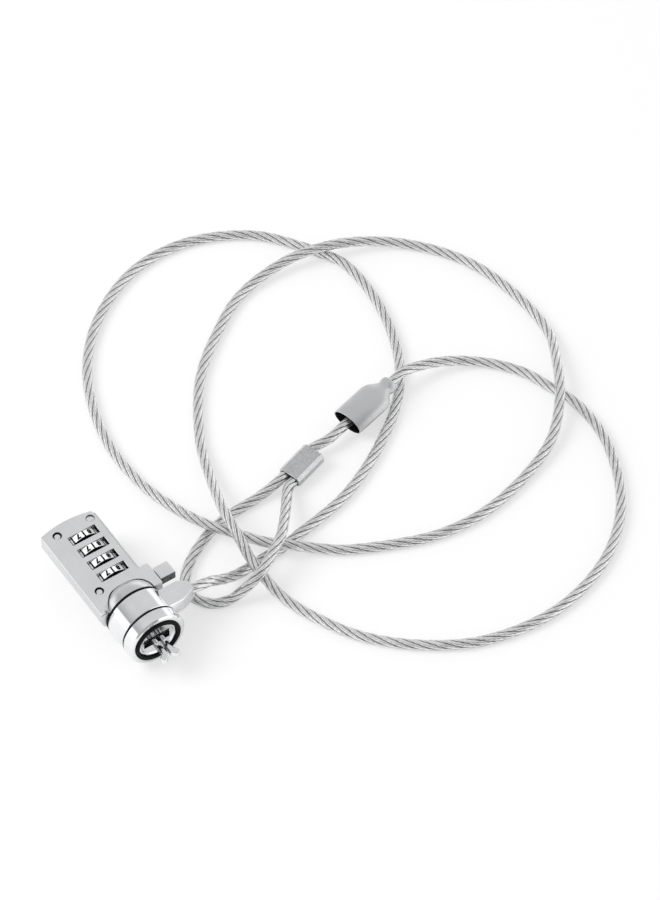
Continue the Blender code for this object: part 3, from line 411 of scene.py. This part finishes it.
SATIN = metal("satin_plated_zinc", 0.87, 0.30, change=0.05, brush=(1.0, 0.15, 1.0), bump=0.000004)
HOUSING_METAL = metal("satin_plated_body", 0.70, 0.28, change=0.08, brush=(1.0, 0.15, 1.0),
                      bump=0.000004)
POLISHED = metal("polished_plated_zinc", 0.88, 0.11, change=0.08, bump=0.000002,
                 brush=(0.2, 6.0, 0.2))
BRIGHT_STEEL = metal("polished_steel", 0.86, 0.09, change=0.06, bump=0.000001, corner=0.0001)
# Painted shade: the lever's front end is painted dark, for the shadowed gap that it reflects.
PAINTED_SHADE_END = metal("painted_shade_lever_end", 0.16, 0.45, change=0.3, blotch=900.0, bump=0.00002)
# Dark steel of the tube, the carrier and the springs; on the hooks' sides the same dark is painted
# shade.
DARK_STEEL_AND_SHADE = metal("dark_spring_steel_and_painted_shade", 0.30, 0.34, change=0.15)
FERRULE_METAL = metal("plated_ferrule", 0.62, 0.24, change=0.24, blotch=1500.0, bump=0.000012)
# Painted shade for the ferrule's bores and the inside of the cover.
PAINTED_SHADE_INSIDE = metal("painted_shade_inside", 0.03, 0.60, change=0.4)
# A painted highlight: a brighter, glossier copy of the plate's metal for its broken edge.
PAINTED_HIGHLIGHT_EDGE = metal("painted_highlight_edge", 0.98, 0.16, change=0.02, bump=0.000001)
COVER_METAL = metal("satin_plated_cover", 0.67, 0.42, change=0.04, bump=0.000003)
DIAL_METAL = metal("dial_plating", 0.90, 0.34, change=0.03, bump=0.000001, corner=0.0001,
                   metallic=0.2)
BLACK_RUBBER = black("black_rubber", (0.003, 0.008), (0.50, 0.70), specular=0.12, grain=9000.0,
                     blotch=300.0, bump=0.00002)
# Black of the printed digits and of the dials' grooves; on the dials' sides, the plate's window edges
# and the left rivet holes' walls it is painted shade.
DIGIT_BLACK_AND_SHADE = black("digit_black_and_painted_shade", (0.002, 0.006), (0.45, 0.65), specular=0.10, grain=12000.0,
                    blotch=700.0)
STRAND_METAL = coated_strands("coated_strands")

# The finishes of the CAD nodes that keep their shape.
NODE_FINISHES = {
    "barrel_tube": DARK_STEEL_AND_SHADE,
    "hook_carrier": DARK_STEEL_AND_SHADE,
    "hook_spring": DARK_STEEL_AND_SHADE,
    "detent_spring": DARK_STEEL_AND_SHADE,
    "hook_pin_left": BRIGHT_STEEL,
    "hook_pin_right": BRIGHT_STEEL,
    "code_set_screw": BRIGHT_STEEL,
    "spindle": BRIGHT_STEEL,
    "cable_anchor_pin": BRIGHT_STEEL,
    "cable_end_plug": BRIGHT_STEEL,
    "rivet_rear_left": BRIGHT_STEEL,
    "rivet_rear_right": BRIGHT_STEEL,
    "rivet_front_left": BRIGHT_STEEL,
}


# --- pieces ------------------------------------------------------------------------------------------

def add_piece(name, mesh, mats, body, stands_for=()):
    """A new piece, riding on its body, with its finish's slot and the CAD nodes that it stands for."""
    obj = bpy.data.objects.new(name, mesh)
    SCENE.collection.objects.link(obj)
    for mat in mats if isinstance(mats, tuple) else (mats,):
        mesh.materials.append(mat)
    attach(obj, body)
    if stands_for:
        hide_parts(*stands_for)
    return obj


def mesh_from(bm, name, smooth=35, flat=math.inf):
    """A mesh with smooth shading up to an angle, apart from its faces with an area above flat."""
    bmesh.ops.recalc_face_normals(bm, faces=bm.faces)
    mesh = bpy.data.meshes.new(name)
    bm.to_mesh(mesh)
    bm.free()
    mesh.shade_smooth()
    mesh.set_sharp_from_angle(angle=math.radians(smooth))
    for face in mesh.polygons:
        if face.area > flat:
            face.use_smooth = False
    return mesh


def finish_node(name, mat):
    """A CAD node that keeps its shape takes a better material."""
    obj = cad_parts[name]
    obj.data.materials.clear()
    obj.data.materials.append(mat)


def copy_of(name):
    """A CAD node's shape with its points merged and its flat faces joined."""
    bm = bmesh.new()
    bm.from_mesh(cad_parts[name].data)
    bmesh.ops.remove_doubles(bm, verts=bm.verts, dist=MERGE_WITHIN)
    bmesh.ops.dissolve_limit(bm, angle_limit=FLAT_WITHIN, verts=bm.verts, edges=bm.edges)
    return bm


def ease(bm, width, picks=None, segments=2, angle=30):
    """Rounds the hard edges that picks accepts, given their middle's x, s, z and lower end's height."""
    edges = []
    for edge in bm.edges:
        if len(edge.link_faces) != 2 or edge.calc_face_angle(0) < math.radians(angle):
            continue
        a, b = edge.verts
        low = min(a.co.z, b.co.z) - LOCK.z
        if picks is None or picks(*place_in_lock((a.co + b.co) / 2), low):
            edges.append(edge)
    bmesh.ops.bevel(bm, geom=edges, offset=width, offset_type="OFFSET", affect="EDGES",
                    segments=segments, profile=0.5, material=-1, clamp_overlap=True)


def paint_faces(bm, choose):
    """Gives each face the number of its material, chosen from its middle and its normal: mostly where
    painted shade and a painted highlight go.
    """
    bmesh.ops.recalc_face_normals(bm, faces=bm.faces)
    for face in bm.faces:
        face.material_index = int(choose(face.calc_center_median(), face.normal))


def smoothed_node(name, mat, body):
    """A zinc casting of the CAD with its round faces shaded round."""
    mesh = mesh_from(copy_of(name), f"{name}_smoothed", smooth=30, flat=FLAT_CASTING_AREA)
    add_piece(f"{name}_smoothed", mesh, mat, body, [name])


# --- the cable ---------------------------------------------------------------------------------------

def cover_axis():
    """The way out of the cover's mouth."""
    flat = math.cos(COVER_DROP)
    return Vector((math.cos(COVER_TURN) * flat, math.sin(COVER_TURN) * flat, -math.sin(COVER_DROP)))


def ferrule_axis():
    """The way along the ferrule's bores."""
    return Matrix.Rotation(FERRULE_TURN, 3, "Z") @ cover_axis()


def level_side(axis):
    """The level direction at right angles to an axis."""
    return Vector((-axis.y, axis.x, 0)).normalized()


def ferrule_middle():
    aside = level_side(cover_axis()) * FERRULE_OFFSET
    return NECK_END + cover_axis() * FERRULE_FROM_NECK + aside


def on_the_way(places):
    """Places as vectors; one without a height lies on the floor."""
    return [Vector((*place, REST_Z)[:3]) for place in places]


def cable_route():
    """The places that the cable passes, as the part's source has them."""
    lug = [at(x, LUG_S, LUG_Z) for x in LUG_X]
    loops = on_the_way(FIRST_LOOP + MIDDLE_LOOP + LAST_LOOP)
    axis, middle = cover_axis(), ferrule_middle()
    straight = [NECK_END + axis * t for t in THROUGH_COVER]
    leg, aside = ferrule_axis(), level_side(ferrule_axis()) * LEG_OFFSET
    out = [middle - aside + leg * t for t in INTO_FERRULE]
    straight.append((straight[-1] + out[0]) / 2)
    back = [middle + aside + leg * t for t in BACK_THROUGH_FERRULE]
    return lug + loops + straight + out + on_the_way(EYE) + back


def smooth_path(points, step):
    """Points along one smooth curve through the given places, a Catmull-Rom curve with even speed."""
    ends = [2 * points[0] - points[1]] + points + [2 * points[-1] - points[-2]]
    path = []
    for a, b, c, d in zip(ends, ends[1:], ends[2:], ends[3:]):
        t0, t1, t2 = (math.sqrt((q - p).length) for p, q in ((a, b), (b, c), (c, d)))
        leave = (b - a) / t0 - (c - a) / (t0 + t1) + (c - b) / t1
        reach = (c - b) / t1 - (d - b) / (t1 + t2) + (d - c) / t2
        pieces = max(2, round((c - b).length / step))
        for i in range(pieces):
            u = i / pieces
            parts = (2 * u ** 3 - 3 * u ** 2 + 1, u ** 3 - 2 * u ** 2 + u,
                     3 * u ** 2 - 2 * u ** 3, u ** 3 - u ** 2)
            path.append(parts[0] * b + parts[1] * t1 * leave + parts[2] * c
                        + parts[3] * t1 * reach)
    return path + [points[-1]]


def even_steps(path, step):
    """The same path with its points a step apart."""
    even, left = [path[0]], step
    for a, b in zip(path, path[1:]):
        length = (b - a).length
        while left <= length:
            even.append(a.lerp(b, left / length))
            left += step
        left -= length
    if (even[-1] - path[-1]).length < step / 2:
        even.pop()
    return even + [path[-1]]


def strand_radius(turn):
    """How far the strands' outside lies from the cable's middle, for a turn counted in strands."""
    from_middle = abs(turn % 1.0 - 0.5) * 2
    return STRANDS_D / 2 - GROOVE * from_middle ** GROOVE_POWER


def build_cable_mesh():
    """The strands' outside as rings along the cable's path, with a map that follows their lay."""
    route = smooth_path(cable_route(), PATH_STEP)
    path = even_steps([Vector((p.x, p.y, max(p.z, CABLE_LOW))) for p in route], RING_STEP)
    sides = STRANDS * STRAND_FACES
    bm = bmesh.new()
    lay = bm.loops.layers.uv.new("lay")
    level = (path[1] - path[0]).orthogonal().normalized()
    run, rings = 0.0, []
    for i, here in enumerate(path):
        ahead = (path[min(i + 1, len(path) - 1)] - path[max(i - 1, 0)]).normalized()
        level = (level - ahead * level.dot(ahead)).normalized()
        up = ahead.cross(level)
        run += (here - path[max(i - 1, 0)]).length
        ring = []
        for k in range(sides):
            angle = math.tau * (k / sides + run / LAY_PITCH)
            radius = strand_radius(k / STRAND_FACES)
            out = level * (radius * math.cos(angle))
            ring.append(bm.verts.new(here + out + up * (radius * math.sin(angle))))
        rings.append((run, ring))
    for (near, here), (far, after) in zip(rings, rings[1:]):
        for k in range(sides):
            j = (k + 1) % sides
            face = bm.faces.new((here[k], here[j], after[j], after[k]))
            for loop, u, v in zip(face.loops, (k, k + 1, k + 1, k), (near, near, far, far)):
                loop[lay].uv = (u / STRAND_FACES, v / LAY_PITCH)
    for ring in (rings[0][1][::-1], rings[-1][1]):
        bm.faces.new(ring)
    return mesh_from(bm, "steel_cable_strands", smooth=60), path


def build_cable_piece(fittings):
    """The cable's strands as one piece; the fittings are not used."""
    mesh, path = build_cable_mesh()
    cable = add_piece("steel_cable_strands", mesh, STRAND_METAL, "cable_and_collar",
                      ["steel_cable"])


def build_ferrule():
    """The crimped sleeve, its two bores painted dark for the shade in them."""
    bm = copy_of("end_ferrule")
    ease(bm, FERRULE_EDGE)
    axis, middle = ferrule_axis(), ferrule_middle()

    def in_a_bore(place, normal):
        out = place - middle
        out -= axis * out.dot(axis)
        aside, up = abs(out.dot(level_side(axis))), abs(out.z)
        inner = aside < FERRULE_HALF[0] and up < FERRULE_HALF[1] and aside + up < FERRULE_HALF[2]
        return inner and abs(normal.dot(axis)) < HALF_WAY

    paint_faces(bm, in_a_bore)
    mesh = mesh_from(bm, "end_ferrule_eased", flat=FLAT_FITTING_AREA)
    return add_piece("end_ferrule_eased", mesh, (FERRULE_METAL, PAINTED_SHADE_INSIDE), "cable_and_collar",
                     ["end_ferrule"])


def build_ferrule_cover():
    """The shell that slides over the sleeve, bright outside and painted dark within for the shade inside
    it.
    """
    bm = copy_of("ferrule_cover")
    ease(bm, COVER_EDGE)
    axis = cover_axis()

    def within(place, normal):
        out = place - NECK_END
        out -= axis * out.dot(axis)
        return normal.dot(out) < COVER_INWARD

    paint_faces(bm, within)
    return add_piece("ferrule_cover_eased", mesh_from(bm, "ferrule_cover_eased", smooth=40),
                     (COVER_METAL, PAINTED_SHADE_INSIDE), "ferrule_cover_body",
                     ["ferrule_cover"])


# --- the lock head -----------------------------------------------------------------------------------

def on_top(low):
    """Whether an edge with this lower end lies in the plate's top."""
    return low > PLATE_TOP - PLATE_TOP_SLACK


def at_rivet(x, s):
    return any(math.hypot(x - rx, s - rs) < RIVET_HOLE_R + NEAR for rx, rs in RIVETS)


def at_window(x, s):
    near = min(abs(s - DIAL_S - WINDOW_MORE / 2 - DIAL_PITCH * i) for i in range(DIAL_COUNT))
    return abs(x) < WINDOW_HALF[0] and near < WINDOW_HALF[1] + WINDOW_MORE / 2 + NEAR


def widen_windows(bm):
    """Moves each window's edge on the nose's side."""
    for v in bm.verts:
        x, s, _ = place_in_lock(v.co)
        edges = (DIAL_S + DIAL_PITCH * i + WINDOW_HALF[1] for i in range(DIAL_COUNT))
        if abs(x) < WINDOW_HALF[0] and min(abs(s - edge) for edge in edges) < NEAR:
            v.co.y -= WINDOW_MORE


def build_cover_plate():
    """The plate with a painted highlight on its broken edge all round and painted shade on the edges at
    its windows.

    The walls of the left rivet holes and the wall at each window's right end are painted black for shade
    too.
    """
    bm = copy_of("cover_plate")
    widen_windows(bm)
    ease(bm, PLATE_EDGE,
         lambda x, s, z, low: on_top(low) and not at_rivet(x, s) and not at_window(x, s),
         segments=3)
    ease(bm, WINDOW_EDGE, lambda x, s, z, low: on_top(low) and at_window(x, s),
         segments=1, angle=60)
    ease(bm, RIVET_HOLE_EDGE, lambda x, s, z, low: on_top(low) and at_rivet(x, s),
         segments=1, angle=60)

    # Painted shade on the left rivet holes' walls and on the windows' slanted edges and right walls; a
    # painted highlight on the plate's slanted broken edge.
    def finish(place, normal):
        x, s, _ = place_in_lock(place)
        slanted, upright = SLANTED[0] < normal.z < SLANTED[1], abs(normal.z) < UPRIGHT
        in_hole = at_rivet(x, s) and x < 0 and upright
        in_window = at_window(x, s) and (slanted or upright and normal.x < -HALF_WAY)
        return 1 if in_hole or in_window else 2 if slanted else 0

    paint_faces(bm, finish)
    mesh = mesh_from(bm, "cover_plate_eased", flat=FLAT_FITTING_AREA)
    add_piece("cover_plate_eased", mesh, (SATIN, DIGIT_BLACK_AND_SHADE, PAINTED_HIGHLIGHT_EDGE), "lock_body",
              ["cover_plate"])


def build_lever():
    """The lever, whose front end is painted dark for the shade that it reflects."""
    bm = copy_of("release_lever")
    # The faces at the lever's front end get the painted shade.
    paint_faces(bm, lambda place, normal: normal.y < -FORWARD and place.x - LOCK.x > LEVER_END_X)
    add_piece("release_lever_faced", mesh_from(bm, "release_lever_faced"), (SATIN, PAINTED_SHADE_END),
              "lever_body", ["release_lever"])


def draw_dial(bm, middle):
    """Narrows a dial's grooves, turns it to the photograph's place and widens it towards the nose."""
    for v in bm.verts:
        x, s, z = place_in_lock(v.co)
        radius = math.hypot(x, z)
        if s > middle:
            s += DIAL_MORE
        if radius > DIAL_GROOVE_R - NEAR:
            turn = math.degrees(math.atan2(x, z))
            half = DIGIT_STEP_DEG / 2
            from_groove = (turn + half) % DIGIT_STEP_DEG - half
            share = GROOVE_SHARE if abs(from_groove) < GROOVE_REACH_DEG else 1
            turn = math.radians(turn - from_groove * (1 - share)) + DIAL_TURNED
            x, z = radius * math.sin(turn), radius * math.cos(turn)
        v.co = at(x, s, z)


def dial_middle(index):
    return DIAL_S + DIAL_PITCH * index - DIAL_BACK


def build_dial(index):
    """A dial with bright pads, black grooves between them and sides painted black for the shade in the
    gap beside them.
    """
    name = f"dial_{index + 1}"
    bm = copy_of(name)
    draw_dial(bm, dial_middle(index))
    ease(bm, DIAL_EDGE, lambda x, s, z, low: math.hypot(x, z) > DIAL_GROOVE_R - NEAR,
         segments=1, angle=20)

    # The grooves are black; the dial's end faces are painted shade.
    def off_the_pads(place, normal):
        x, _, z = place_in_lock(place)
        return math.hypot(x, z) <= (DIAL_R + DIAL_GROOVE_R) / 2 or abs(normal.y) >= ENDWAYS

    paint_faces(bm, off_the_pads)
    mesh = mesh_from(bm, f"{name}_marked", smooth=25)
    add_piece(f"{name}_marked", mesh, (DIAL_METAL, DIGIT_BLACK_AND_SHADE), f"{name}_body",
              [name])


def bent_on_dial(mesh, turn, s):
    """A flat mark laid on a dial: its x runs round the dial, its y towards the nose."""
    for v in mesh.vertices:
        angle = turn + v.co.x / DIAL_R
        radius = DIAL_R + v.co.z
        v.co = at(radius * math.sin(angle), s + v.co.y, radius * math.cos(angle))
    return mesh


def digit_mesh(digit):
    """A bold digit as a flat mark, fitted to its pad and mirrored to be read from outside."""
    text = bpy.data.curves.new("digit", "FONT")
    text.body = str(digit)
    text.size = DIGIT_SIZE
    text.offset = DIGIT_BOLD
    text.extrude = DIGIT_THICK
    text.resolution_u = 3
    obj = bpy.data.objects.new("digit", text)
    SCENE.collection.objects.link(obj)
    bpy.context.view_layer.update()
    made = obj.evaluated_get(bpy.context.evaluated_depsgraph_get())
    mesh = bpy.data.meshes.new_from_object(made)
    bpy.data.objects.remove(obj, do_unlink=True)
    places = [v.co.copy() for v in mesh.vertices]
    low = Vector([min(p[k] for p in places) for k in range(3)])
    high = Vector([max(p[k] for p in places) for k in range(3)])
    middle, size = (low + high) / 2, high - low
    wide, tall = min(DIGIT_WIDE / size.x, DIGIT_HIGH / size.y), DIGIT_HIGH / size.y
    for v in mesh.vertices:
        v.co = Vector((-(v.co.x - middle.x) * wide, (v.co.y - middle.y) * tall,
                       v.co.z - middle.z + DIGIT_LIFT))
    return mesh


def build_digits(index):
    """The ten digits of one dial, their tops towards the nose."""
    bm = bmesh.new()
    for digit in range(DIGITS):
        mesh = digit_mesh(digit)
        degrees = DIGIT_STEP_DEG / 2 + DIGIT_STEP_DEG * (digit - DIGIT_AT_RIGHT)
        turn = math.radians(degrees) + DIAL_TURNED
        bm.from_mesh(bent_on_dial(mesh, turn, dial_middle(index) + DIAL_MORE / 2))
        bpy.data.meshes.remove(mesh)
    bmesh.ops.remove_doubles(bm, verts=bm.verts, dist=DIGIT_MERGE_WITHIN)
    mesh = mesh_from(bm, f"dial_{index + 1}_digits", smooth=30)
    add_piece(f"dial_{index + 1}_digits", mesh, DIGIT_BLACK_AND_SHADE, f"dial_{index + 1}_body")


def build_nose():
    """The hooks, their sides painted dark for shade, with polished tips, and the slotted face between
    them.
    """
    # Painted shade: the hooks' sides behind their tips are painted dark.
    def dark_side(place, normal):
        return abs(normal.x) > SIDEWAYS and LOCK.y - place.y < HOOK_SHADE_S

    for side in ("left", "right"):
        bm = copy_of(f"hook_{side}")
        ease(bm, HOOK_ROUND, lambda x, s, z, low: s > HOOK_ROUND_S, segments=4)
        paint_faces(bm, dark_side)
        add_piece(f"hook_{side}_eased", mesh_from(bm, f"hook_{side}_eased"),
                  (BRIGHT_STEEL, DARK_STEEL_AND_SHADE), f"hook_{side}_body",
                  [f"hook_{side}"])
    bm = copy_of("nose_plate")
    ease(bm, NOSE_PLATE_EDGE, lambda x, s, z, low: s > NOSE_PLATE_S, segments=1)
    add_piece("nose_plate_eased", mesh_from(bm, "nose_plate_eased"), BRIGHT_STEEL, "lock_body",
              ["nose_plate"])


def build_return_spring():
    """The coil behind the hooks, which the lever presses together."""
    mesh = mesh_from(copy_of("return_spring"), "return_spring_wound", smooth=60)
    spring = add_piece("return_spring_wound", mesh, BRIGHT_STEEL, "lock_body",
                       ["return_spring"])
    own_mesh(spring)


def build_seals():
    """The ring round the nose's face and the two washers in the barrel's seams."""
    for name in ("face_ring", "shoulder_washer", "nose_washer"):
        bm = copy_of(name)
        for v in bm.verts:
            x, s, z = place_in_lock(v.co)
            radius = math.hypot(x, z)
            if name == "face_ring":
                more = (FACE_RING_R + (radius - FACE_RING_R) * FACE_RING_MORE) / radius
            else:
                more = WASHER_MORE
            v.co = at(x * more, s, z * more)
        add_piece(f"{name}_fitted", mesh_from(bm, f"{name}_fitted"), BLACK_RUBBER, "lock_body",
                  [name])


# --- the set -----------------------------------------------------------------------------------------

def build_floor():
    """A pale floor with a white of its own, so that it is as white as the photograph's."""
    bm = bmesh.new()
    bmesh.ops.create_grid(bm, x_segments=1, y_segments=1, size=FLOOR_SIZE)
    mesh = bpy.data.meshes.new("floor")
    bm.to_mesh(mesh)
    bm.free()
    floor = bpy.data.objects.new("floor", mesh)
    SCENE.collection.objects.link(floor)
    mat, tree, shader = new_material("pale_floor")
    fill(tree, shader, Base_Color=grey(FLOOR_GREY), Roughness=0.9, Specular_IOR_Level=0.0)
    ray = node(tree, "LightPath").outputs
    white = node(tree, "Emission", Color=grey(1.0), Strength=1.0)
    seen = maths(tree, "MULTIPLY", ray["Is Camera Ray"], FLOOR_SEEN)
    reflected = maths(tree, "MULTIPLY", ray["Is Glossy Ray"], FLOOR_REFLECTED)
    through = maths(tree, "MULTIPLY", ray["Is Transmission Ray"], FLOOR_THROUGH)
    share = maths(tree, "MAXIMUM", maths(tree, "MAXIMUM", seen, reflected), through)
    mix = node(tree, "MixShader", Fac=share, _1=shader.outputs[0], _2=white.outputs[0])
    fill(tree, tree.nodes["Material Output"], Surface=mix.outputs[0])
    mesh.materials.append(mat)


def zone_share(tree, parts, limits):
    """How far a direction lies in a zone of the room."""
    share = 1.0
    for part, start, full in limits:
        share = maths(tree, "MULTIPLY", share, spread(tree, parts[part], start, full))
    return share


def build_world():
    """A pale room, as the metal reflects it: white low on the left, on the right and ahead to the right.

    It is grey above the white on the left and straight ahead, and again where the photographer stands.
    Everything else is lit by a softer room, and the camera sees plain white.
    """
    world = bpy.data.worlds.new("studio")
    SCENE.world = world
    world.use_nodes = True
    tree = world.node_tree
    direction = node(tree, "TexCoord").outputs["Generated"]
    across, depth, height = node(tree, "SeparateXYZ", Vector=direction).outputs
    parts = {"across": across, "depth": depth, "height": height,
             "off_middle": maths(tree, "ABSOLUTE", across)}
    top, low, high = ROOM_REFLECTED
    room = mixed(tree, spread(tree, height, 0.0, top), grey(low), grey(high))
    room = mixed(tree, zone_share(tree, parts, DIM_LEFT), room, grey(DIM_GREY))
    room = mixed(tree, zone_share(tree, parts, AHEAD), room, grey(AHEAD_GREY))
    white = 0.0
    for limits in WHITE_ZONES:
        white = maths(tree, "MAXIMUM", white, zone_share(tree, parts, limits))
    room = mixed(tree, white, room, grey(WHITE_LEVEL))
    towards = node(tree, "VectorMath", {"operation": "DOT_PRODUCT"}, _0=direction, _1=DARK_SIDE)
    reflected = mixed(tree, spread(tree, towards.outputs[1], *DARK_CONE), room, grey(DARK_GREY))
    top, low, high = ROOM_SOFT
    soft = mixed(tree, spread(tree, height, 0.0, top), grey(low), grey(high))
    ray = node(tree, "LightPath").outputs
    seen = mixed(tree, ray["Is Glossy Ray"], soft, reflected)
    fill(tree, tree.nodes["Background"], Color=mixed(tree, ray["Is Camera Ray"], seen, grey(1.0)),
         Strength=1.0)


def build_lamp():
    """One large lamp behind on the left, which the metal doesn't reflect."""
    lamp = bpy.data.lights.new("key_lamp", "AREA")
    lamp.shape = "RECTANGLE"
    lamp.size = lamp.size_y = LAMP_SIZE
    lamp.energy = LAMP_WATTS
    obj = bpy.data.objects.new("key_lamp", lamp)
    SCENE.collection.objects.link(obj)
    obj.location = LAMP_PLACE
    obj.rotation_euler = (LAMP_TARGET - LAMP_PLACE).to_track_quat("-Z", "Y").to_euler()
    obj.visible_glossy = False


def build_camera():
    camera = bpy.data.cameras.new("camera")
    camera.lens = LENS_MM
    camera.sensor_fit = "VERTICAL"
    camera.sensor_height = SENSOR_MM
    camera.sensor_width = SENSOR_MM
    camera.clip_end = CAMERA_REACH
    obj = bpy.data.objects.new("camera", camera)
    SCENE.collection.objects.link(obj)
    flat = math.cos(CAMERA_ELEVATION)
    away = Vector((math.sin(CAMERA_AZIMUTH) * flat, -math.cos(CAMERA_AZIMUTH) * flat,
                   math.sin(CAMERA_ELEVATION)))
    obj.location = CAMERA_TARGET + away * CAMERA_DISTANCE
    obj.rotation_euler = (-away).to_track_quat("-Z", "Y").to_euler()
    SCENE.camera = obj


def build():
    build_camera()
    build_cable_piece([build_ferrule(), build_ferrule_cover()])
    for name, mat in NODE_FINISHES.items():
        finish_node(name, mat)
    smoothed_node("housing", HOUSING_METAL, "lock_body")
    smoothed_node("nose_cap", POLISHED, "lock_body")
    smoothed_node("cable_collar", POLISHED, "cable_and_collar")
    build_cover_plate()
    build_lever()
    for i in range(DIAL_COUNT):
        finish_node(f"code_sleeve_{i + 1}", BRIGHT_STEEL)
        build_dial(i)
        build_digits(i)
    build_nose()
    build_return_spring()
    build_seals()
    build_floor()
    build_world()
    build_lamp()
    SCENE.view_settings.view_transform = "Standard"


build()
